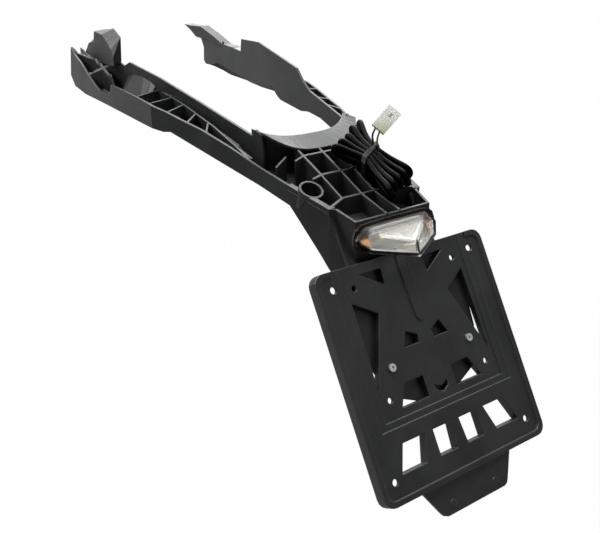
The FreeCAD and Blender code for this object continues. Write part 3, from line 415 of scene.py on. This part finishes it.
class Finish(Enum):
    """Finishes of the object, by the material each piece is made of."""

    # black mouldings: satin sheen, edges painted paler as a highlight, the plate frame a little glossier and
    # the support duller
    BRACKET = MouldedPolypropylene("carrier_polypropylene", edge_mm=1.2)
    # the support's colour is darker than the carrier's: partly its own tone, partly painted shade for its side
    # faces
    SUPPORT = MouldedPolypropylene("support_polypropylene", colour="#17181A", roughness=0.46)
    # the frame's paler edge colour and wider rounding paint a stronger highlight along its steps
    PLATE = MouldedPolypropylene("frame_polypropylene", colour="#1B1C1D", cloud_and_highlight_colour="#77787A", roughness=0.38,
                                 edge_mm=1.6)

    # extruded vinyl: the sheath deep black with narrow glints, the wires plain
    SHEATH = SolidFinish("pvc_sheath", "#020203", "#040405", 0.2, specular=0.035, grain_mm=1.2,
                         grain_strength=0.02)
    WIRE_BLACK = SolidFinish("pvc_wire_black", "#0A0A0B", "#101011", 0.35)
    WIRE_GREEN = SolidFinish("pvc_wire_green", "#6B7F42", "#748A4A", 0.38)

    # matt rubber and foam, and the tie's smooth black nylon
    RUBBER = SolidFinish("moulded_rubber", "#121213", "#18181A", 0.62, grain_strength=0.12)
    GASKET = SolidFinish("gasket_foam", "#4A443E", "#39352F", 0.7, grain_strength=0.1)
    NYLON_TIE = SolidFinish("black_nylon", "#070708", "#0C0C0D", 0.36, specular=0.3)

    # milky shell of the connector
    NYLON_SHELL = NaturalNylon("natural_nylon")

    # metals: soft grey screw heads, yellowish contacts and the light's bright reflector
    PLATED = SolidFinish("zinc_plated_steel", "#D4D5D6", "#C2C4C6", 0.3, metallic=0.7, mottle_mm=3.0)
    TINNED = SolidFinish("tinned_brass", "#C9C2AE", "#B8AE93", 0.3, metallic=1.0)
    MIRROR = SolidFinish("vacuum_metallised_abs", "#CACAC8", "#BCBCBA", 0.3, metallic=1.0,
                         grain_strength=0.02)

    # inside of the light: pale guide, board toned down from white because the lamps above would clip it,
    # yellow chips, glossy amber at both ends
    HOUSING = SilveredPlastic("silvered_housing")
    GUIDE = SolidFinish("opal_acrylic", "#C4C5C1", "#B8B9B5", 0.4, specular=0.2, grain_strength=0.02)
    BOARD = SolidFinish("solder_mask_white", "#A6A6A2", "#9C9C97", 0.5)
    PHOSPHOR = SolidFinish("led_phosphor", "#E9DF9A", "#DCCB70", 0.35)
    AMBER = SolidFinish("amber_acrylic", "#B07A3A", "#94602C", 0.25, coat=0.5)

    # clear mouldings: the lens stippled on top, the window plain, the diffuser full of prisms
    LENS = ClearPlastic("clear_polycarbonate", roughness=0.05, ior=1.3, stipple_mm=1.4)
    WINDOW = ClearPlastic("clear_window")
    DIFFUSER = ClearPlastic("prismatic_acrylic", tint="#EDEDE9", roughness=0.2, ior=1.2, prism_mm=2.2,
                            wave_strength=0.9)


class Paint:
    """Materials made once each and put on nodes and pieces."""

    def __init__(self) -> None:
        """Start with nothing made."""
        self.made: Dict[Finish, bpy.types.Material] = {}

    def get(self, finish: Finish) -> bpy.types.Material:
        """Return the material of a finish, made on first use."""
        if finish not in self.made:
            self.made[finish] = finish.value.build()
        return self.made[finish]

    def dress(self, obj: bpy.types.Object, finish: Finish) -> None:
        """Put a finish on every slot of an object.

        Args:
            obj: Object to dress.
            finish: Finish to use.
        """
        material = self.get(finish)
        if not obj.material_slots:
            obj.data.materials.append(material)
        for slot in obj.material_slots:
            slot.material = material


NODE_FINISH: Dict[str, Finish] = {
    "carrier_bracket": Finish.BRACKET,
    "tail_support": Finish.SUPPORT,
    "plate_frame": Finish.PLATE,
    "plate_screw_left": Finish.PLATED,
    "plate_screw_right": Finish.PLATED,
    "light_gasket": Finish.GASKET,
    "light_housing": Finish.HOUSING,
    "light_lens": Finish.LENS,
    "light_reflector": Finish.MIRROR,
    "light_diffuser": Finish.DIFFUSER,
    "light_guide": Finish.GUIDE,
    "plate_lamp_window": Finish.WINDOW,
    "circuit_board": Finish.BOARD,
    "amber_reflector_left": Finish.AMBER,
    "amber_reflector_right": Finish.AMBER,
    "cable_grommet": Finish.RUBBER,
    "cable_lead": Finish.SHEATH,
    "cable_hank": Finish.SHEATH,
    "cable_tie": Finish.NYLON_TIE,
    "wire_black": Finish.WIRE_BLACK,
    "wire_green": Finish.WIRE_GREEN,
    "connector_housing": Finish.NYLON_SHELL,
    "connector_terminal_left": Finish.TINNED,
    "connector_terminal_right": Finish.TINNED,
    **{f"led_{number}": Finish.PHOSPHOR for number in range(1, LED_COUNT + 1)},
}


@dataclass(frozen=True)
class Layer:
    """One layer of folds in the hank, in millimetres over the rib tops and in shares of the half width."""

    low: float
    high: float
    waist_low: float
    waist_high: float
    columns: Tuple[float, ...]
    return_shift: float
    front_lanes: Tuple[float, ...]
    rear_lanes: Tuple[float, ...]


@dataclass(frozen=True)
class Section:
    """One cross-section of the hank: its middle in plan and its half width, in millimetres."""

    centre: Pair
    half_width: float

    def moved(self, along_x: float, along_y: float) -> "Section":
        """The same section with its middle moved in plan."""
        return Section((self.centre[0] + along_x, self.centre[1] + along_y), self.half_width)


@dataclass
class TiedCable:
    """Sheathed cable from the light: a short lead and a hank folded seven times and tied at its waist.

    The sections give the hank's middle and half width, and its lanes and columns are places across them, along
    the direction across. The drops and rises are set off from the low and high of each layer, over a bed of rib
    tops that is given as places along Y with their heights.
    """

    length_m: float = 1.25
    diameter_mm: float = 6.0
    exit_mm: Vec = (18.0, -59.5, -5.5)
    lead_mm: Sequence[Vec] = ((18.0, -50.0, -5.5), (18.0, -40.9, -1.3), (18.0, -31.0, 10.5))
    end_mm: Sequence[Vec] = ((26.5, -4.8, 40.5), (29.0, -3.6, 43.5))
    across: Pair = (0.9, 0.435)
    bed_mm: Sequence[Pair] = ((-63.5, 2.8), (-29.0, 12.4), (2.0, 27.4), (20.0, 36.6), (42.0, 49.8))
    front: Section = Section((17.8, 23.5), 30.5)
    mid_front: Section = Section((18.2, 9.0), 19.5)
    waist_front: Section = Section((19.6, -4.0), 12.4)
    waist_rear: Section = Section((20.6, -12.0), 12.4)
    mid_rear_out: Section = Section((22.2, -25.0), 19.0)
    mid_rear_back: Section = Section((22.2, -25.0), 20.0)
    rear: Section = Section((24.8, -44.5), 28.0)
    last: Section = Section((22.2, -22.0), 19.0)
    last_lane: float = 0.2
    last_height_mm: float = 15.0
    gather: float = 0.8
    start_drop_mm: float = 2.0
    mid_drop_mm: float = 0.6
    front_drop_mm: float = 1.4
    front_rise_mm: float = 0.6
    back_rise_mm: float = 0.2
    rear_drop_mm: float = 2.4
    front_uneven_mm: float = 1.2
    front_beat: Pair = (2.3, 0.7)
    front_lean: float = -0.3
    rear_uneven_mm: float = 1.4
    rear_beat: float = 1.7
    layers: Sequence[Layer] = (
        Layer(low=8.6, high=14.6, waist_low=10.6, waist_high=16.4, columns=(-0.92, -0.46, 0.0, 0.46, 0.92),
              return_shift=0.0, front_lanes=(-0.88, -0.46, -0.04, 0.40, 0.86),
              rear_lanes=(-0.84, -0.44, -0.02, 0.42, 0.84)),
        Layer(low=3.8, high=9.0, waist_low=5.8, waist_high=5.8, columns=(-0.46, 0.46), return_shift=0.42,
              front_lanes=(-0.62, 0.62), rear_lanes=(-0.60, 0.60)),
    )

    def bed_height(self, place: float) -> float:
        """Height of the rib tops that the hank lies on, at one place along Y."""
        marks = np.array(self.bed_mm)
        return float(np.interp(place, marks[:, 0], marks[:, 1]))

    def point(self, section: Section, lane: float, height: float) -> Vec:
        """Place one control point of a fold.

        It lies as many half widths across the section as the lane says, and its height is over the rib tops.

        Args:
            section: Section of the hank.
            lane: Place across the section, from -1 to 1.
            height: Height over the rib tops.

        Returns:
            The point in millimetres.
        """
        x = section.centre[0] + section.half_width * lane * self.across[0]
        y = section.centre[1] + section.half_width * lane * self.across[1]
        return x, y, self.bed_height(y) + height

    def fold(self, number: int, layer: Layer, which: int, lane_before: float) -> List[Vec]:
        """Control points of one fold.

        It starts at the rear, crosses the waist low, turns up at the front, comes back over the waist high and
        turns down at the rear. Sines of the fold's number make the ends uneven, as in a hank folded by hand.

        Args:
            number: Number of the fold in the hank.
            layer: Layer that the fold lies in.
            which: Number of the fold in its layer.
            lane_before: Rear lane of the fold before.

        Returns:
            The points in millimetres.
        """
        step, start = self.front_beat
        ahead_by = self.front_uneven_mm * math.sin(step * number + start)
        behind_by = self.rear_uneven_mm * math.sin(self.rear_beat * number)
        front = self.front.moved(self.front_lean * ahead_by, ahead_by)
        rear = self.rear.moved(0.0, behind_by)
        column = layer.columns[which]
        back = column + layer.return_shift
        ahead, behind = layer.front_lanes[which], layer.rear_lanes[which]
        return [
            self.point(self.mid_rear_out, lane_before * self.gather, layer.low - self.start_drop_mm),
            self.point(self.waist_rear, column, layer.waist_low),
            self.point(self.waist_front, column, layer.waist_low),
            self.point(self.mid_front, ahead, layer.low - self.mid_drop_mm),
            self.point(front, ahead, layer.low - self.front_drop_mm),
            self.point(front, ahead, layer.high + self.front_rise_mm),
            self.point(self.mid_front, ahead, layer.high + self.back_rise_mm),
            self.point(self.waist_front, back, layer.waist_high),
            self.point(self.waist_rear, back, layer.waist_high),
            self.point(self.mid_rear_back, behind, layer.high),
            self.point(rear, behind, layer.high + self.back_rise_mm),
            self.point(rear, behind, layer.low - self.rear_drop_mm),
        ]

    def route(self) -> List[Vec]:
        """Control points of the whole cable: the lead, the folds in order and the end by the connector."""
        out: List[Vec] = [self.exit_mm, *self.lead_mm]
        number, lane_before = 0, 0.0
        for layer in self.layers:
            for which, lane in enumerate(layer.rear_lanes):
                out += self.fold(number, layer, which, lane_before)
                number, lane_before = number + 1, lane
        out.append(self.point(self.last, self.last_lane, self.last_height_mm))
        out += self.end_mm
        return out

    def build(self, paint: Paint) -> bpy.types.Object:
        """Build the cable as one NURBS line through lead and folds.

        Args:
            paint: Materials.

        Returns:
            The cable's curve.
        """
        points = self.route()
        curve = bpy.data.curves.new("cable_sheath", "CURVE")
        curve.dimensions = "3D"
        curve.bevel_depth = self.diameter_mm / 2.0 * MM
        curve.bevel_resolution = 4
        curve.resolution_u = 6
        curve.use_fill_caps = True
        spline = curve.splines.new("NURBS")
        spline.points.add(len(points) - 1)
        rows = np.c_[np.array(points) * MM, np.ones(len(points))]
        spline.points.foreach_set("co", rows.ravel())
        spline.order_u = 3
        spline.use_endpoint_u = True
        obj = bpy.data.objects.new("cable_sheath", curve)
        bpy.context.scene.collection.objects.link(obj)
        paint.dress(obj, Finish.SHEATH)
        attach(obj, "root")
        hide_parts("cable_lead", "cable_hank")
        return obj


@dataclass(frozen=True)
class SoftLamp:
    """One soft rectangular lamp: its place, the point it faces and its size in metres, and its watts."""

    name: str
    place: Vec
    aim: Vec
    size: Pair
    watts: float

    def hang(self) -> bpy.types.Object:
        """Hang the lamp, turned to its aim; return it."""
        data = bpy.data.lights.new(self.name, "AREA")
        data.shape = "RECTANGLE"
        data.size, data.size_y = self.size
        data.energy = self.watts
        obj = bpy.data.objects.new(self.name, data)
        turn = (Vector(self.aim) - Vector(self.place)).to_track_quat("-Z", "Y").to_matrix().to_4x4()
        obj.matrix_world = Matrix.Translation(Vector(self.place)) @ turn
        bpy.context.scene.collection.objects.link(obj)
        return obj


PART_MIDDLE: Vec = (0.0, 0.1, 0.0)

LAMPS: Sequence[SoftLamp] = (
    # even light on everything that faces up
    SoftLamp("overhead_box", (0.0, 0.45, 1.6), PART_MIDDLE, (1.7, 2.3), 66.0),
    # where the right part of the cowl and the top of the lens mirror the camera
    SoftLamp("right_top", (1.1, 0.75, 1.33), (0.0, 0.05, 0.04), (1.2, 1.0), 12.0),
    # where the left part of the cowl mirrors it
    SoftLamp("far_glow", (1.3, 1.9, 0.85), PART_MIDDLE, (2.6, 1.2), 36.0),
    # where the lug at the left arm's tip mirrors it
    SoftLamp("left_top", (-1.26, 0.84, 1.0), (-0.08, 0.28, 0.1), (0.8, 0.8), 17.0),
    # where the right arm's inner face mirrors it
    SoftLamp("front_low", (-0.35, 1.4, -0.1), (0.067, 0.2, 0.06), (0.5, 0.6), 0.8),
    # where the plate frame's web mirrors it
    SoftLamp("rear_sheen", (0.9, -1.5, 0.6), (0.0, -0.1, -0.1), (1.0, 1.0), 1.6),
)


@dataclass
class Studio:
    """Floor, white surround, soft lamps and the camera of the photograph."""

    camera_mm: Vec = (-476.66, -587.67, 242.58)
    right: Vec = (0.80944552, -0.58699229, -0.01542722)
    down: Vec = (-0.23573216, -0.30078085, -0.92410023)
    ahead: Vec = (0.5377995, 0.75164548, -0.38183867)
    focal_px: float = 850.0
    width_px: float = 600.0
    sensor_mm: float = 36.0
    clip: Pair = (0.01, 60.0)
    white: str = "#FFFFFF"
    surround_level: float = 0.17
    floor_half: float = 0.42
    floor_ahead: float = 0.13
    floor_gap_mm: float = 6.0
    floor_colour: str = "#787878"
    floor_shadow: float = 0.01
    floor_in_gloss: float = 0.25

    def camera(self) -> bpy.types.Object:
        """Set the camera up from its axes and focal length; return it."""
        data = bpy.data.cameras.new("camera")
        data.sensor_fit = "HORIZONTAL"
        data.sensor_width = self.sensor_mm
        data.lens = self.sensor_mm * self.focal_px / self.width_px
        data.clip_start, data.clip_end = self.clip
        obj = bpy.data.objects.new("camera", data)
        turn = Matrix((self.right, tuple(-v for v in self.down), tuple(-v for v in self.ahead))).transposed()
        obj.matrix_world = Matrix.Translation(Vector(self.camera_mm) * MM) @ turn.to_4x4()
        bpy.context.scene.collection.objects.link(obj)
        bpy.context.scene.camera = obj
        return obj

    def white_share(self, tree: bpy.types.NodeTree, in_gloss: float) -> bpy.types.NodeSocket:
        """Share of pure white that a ray is shown, by the kind of the ray.

        Args:
            tree: Node tree of the floor or the world.
            in_gloss: Share for a ray off a glossy surface.

        Returns:
            The socket: 1 for a camera ray or one through glass, the given share off gloss, otherwise 0.
        """
        path = add_node(tree, "ShaderNodeLightPath")
        seen = add_node(tree, "ShaderNodeMath", {"operation": "MAXIMUM"},
                        {0: path.outputs["Is Camera Ray"], 1: path.outputs["Is Transmission Ray"]})
        gloss = add_node(tree, "ShaderNodeMath", {"operation": "MULTIPLY", 1: in_gloss},
                         {0: path.outputs["Is Glossy Ray"]})
        both = add_node(tree, "ShaderNodeMath", {"operation": "MAXIMUM"},
                        {0: seen.outputs["Value"], 1: gloss.outputs["Value"]})
        return both.outputs["Value"]

    def floor_material(self) -> bpy.types.Material:
        """Build a grey that is shown as white and keeps the faintest shadow; return the material."""
        material, tree = fresh_material("studio_white")
        share = add_node(tree, "ShaderNodeMath", {"operation": "MULTIPLY", 1: 1.0 - self.floor_shadow},
                         {0: self.white_share(tree, self.floor_in_gloss)})
        plain = add_node(tree, "ShaderNodeBsdfDiffuse", {"Color": linear(self.floor_colour)})
        glow = add_node(tree, "ShaderNodeEmission", {"Color": linear(self.white), "Strength": 1.0})
        mix = add_node(tree, "ShaderNodeMixShader", None,
                       {0: share.outputs["Value"], 1: plain.outputs["BSDF"], 2: glow.outputs["Emission"]})
        add_node(tree, "ShaderNodeOutputMaterial", None, {"Surface": mix.outputs["Shader"]})
        return material

    def floor(self, low: float) -> bpy.types.Object:
        """Lay the floor, a square a little under the part.

        Args:
            low: Lowest point of the part, in metres.

        Returns:
            The floor.
        """
        half, ahead = self.floor_half, self.floor_ahead
        z = low - self.floor_gap_mm * MM
        mesh = bpy.data.meshes.new("studio_floor")
        mesh.from_pydata([(-half, ahead - half, z), (half, ahead - half, z), (half, ahead + half, z),
                          (-half, ahead + half, z)], [], [(0, 1, 2, 3)])
        obj = bpy.data.objects.new("studio_floor", mesh)
        bpy.context.scene.collection.objects.link(obj)
        mesh.materials.append(self.floor_material())
        obj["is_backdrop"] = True
        return obj

    def surround(self) -> None:
        """Fill with even white light, shown as pure white behind the part."""
        world = bpy.data.worlds.new("studio")
        bpy.context.scene.world = world
        world.use_nodes = True
        tree = world.node_tree
        tree.nodes.clear()
        level = add_node(tree, "ShaderNodeMapRange", {"To Min": self.surround_level, "To Max": 1.0},
                         {"Value": self.white_share(tree, 0.0)})
        back = add_node(tree, "ShaderNodeBackground", {"Color": linear(self.white)},
                        {"Strength": level.outputs["Result"]})
        add_node(tree, "ShaderNodeOutputWorld", None, {"Surface": back.outputs["Background"]})


class TailTidy:
    """The dressed part and the studio round it."""

    def __init__(self) -> None:
        """Prepare the materials and the builders."""
        self.paint = Paint()
        self.cable = TiedCable()
        self.studio = Studio()

    def dress_nodes(self) -> None:
        """Give every CAD node its finish."""
        for name, finish in NODE_FINISH.items():
            obj = bpy.data.objects.get(name)
            if obj is None:
                log.warning("no node %s", name)
                continue
            self.paint.dress(obj, finish)
            log.info("dressed %s", name)

    def build(self) -> None:
        """Build everything in order."""
        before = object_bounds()
        self.studio.camera()
        self.dress_nodes()
        self.cable.build(self.paint)
        log.info("built cable_sheath")
        lowest = before[0][2]
        self.studio.floor(lowest)
        self.studio.surround()
        for lamp in LAMPS:
            lamp.hang()
        bpy.context.scene.view_settings.view_transform = "Standard"
        bpy.context.view_layer.update()


def main() -> None:
    """Build the scene and report each piece."""
    logging.basicConfig(level=logging.INFO)
    TailTidy().build()


if __name__ == "__main__":
    main()
